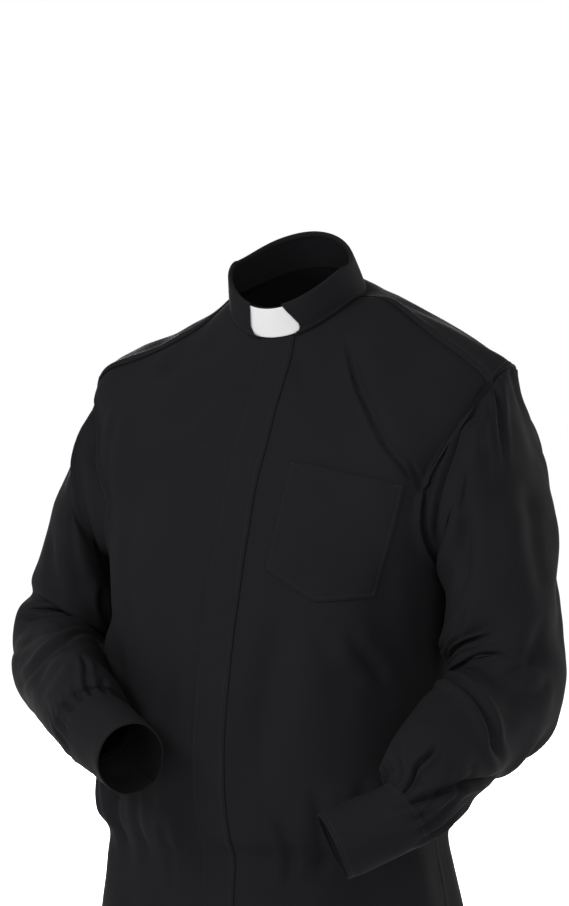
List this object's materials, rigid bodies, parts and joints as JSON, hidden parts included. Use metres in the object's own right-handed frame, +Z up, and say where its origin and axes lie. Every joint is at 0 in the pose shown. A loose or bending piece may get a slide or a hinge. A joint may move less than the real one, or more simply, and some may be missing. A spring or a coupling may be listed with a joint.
{
  "type": "clergy shirt",
  "caption": "Black long-sleeved clergy shirt with a stand collar, white tab, covered placket and chest pocket, in its worn form with both forearms bent forward.",
  "frame": {"origin": "middle of the neck seam, where the wearer's neck and shoulders hold the shirt", "axes": "+Z up, -Y the shirt's front, +X the wearer's left side"},
  "size_m": [0.6494, 0.4431, 0.8365],
  "materials": {
    "black_cloth": "smooth matt poly-cotton weave",
    "black_button": "satin",
    "white_tab": "smooth satin white plastic"
  },
  "bodies": {
    "root": {"front_left": "black_cloth", "front_right": "black_cloth", "placket": "black_cloth", "pocket": "black_cloth", "back": "black_cloth", "yoke": "black_cloth", "sleeve_left": "black_cloth", "cuff_left": "black_cloth", "sleeve_placket_left": "black_cloth", "sleeve_right": "black_cloth", "cuff_right": "black_cloth", "sleeve_placket_right": "black_cloth", "collar_band": "black_cloth", "collar_leaf": "black_cloth", "cuff_button_left": "black_button", "cuff_button_right": "black_button", "tab": "white_tab"}
  },
  "joints": []
}
